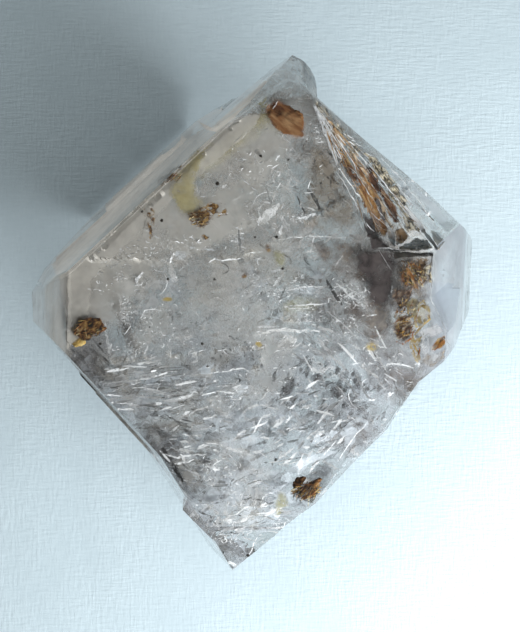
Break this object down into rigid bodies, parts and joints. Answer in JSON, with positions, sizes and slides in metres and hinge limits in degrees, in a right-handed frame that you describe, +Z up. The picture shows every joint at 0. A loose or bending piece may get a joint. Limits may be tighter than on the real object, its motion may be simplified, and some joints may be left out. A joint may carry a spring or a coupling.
{
  "type": "quartz crystal",
  "caption": "Stout, doubly ended quartz crystal with flat faces, a stepped and etched shoulder and ledged sides, resting on its largest face.",
  "frame": {"origin": "centre of the bounding box in plan, on the base face that the crystal rests on", "axes": "+Y from the lower tip to the upper tip, +X to the right shoulder, +Z up through the big front face"},
  "size_m": [0.0664, 0.0748, 0.0362],
  "materials": {
    "clear_quartz": "glassy natural faces, clear to smoky, stained with iron oxide inside"
  },
  "bodies": {
    "root": {"quartz_crystal": "clear_quartz"}
  },
  "joints": []
}
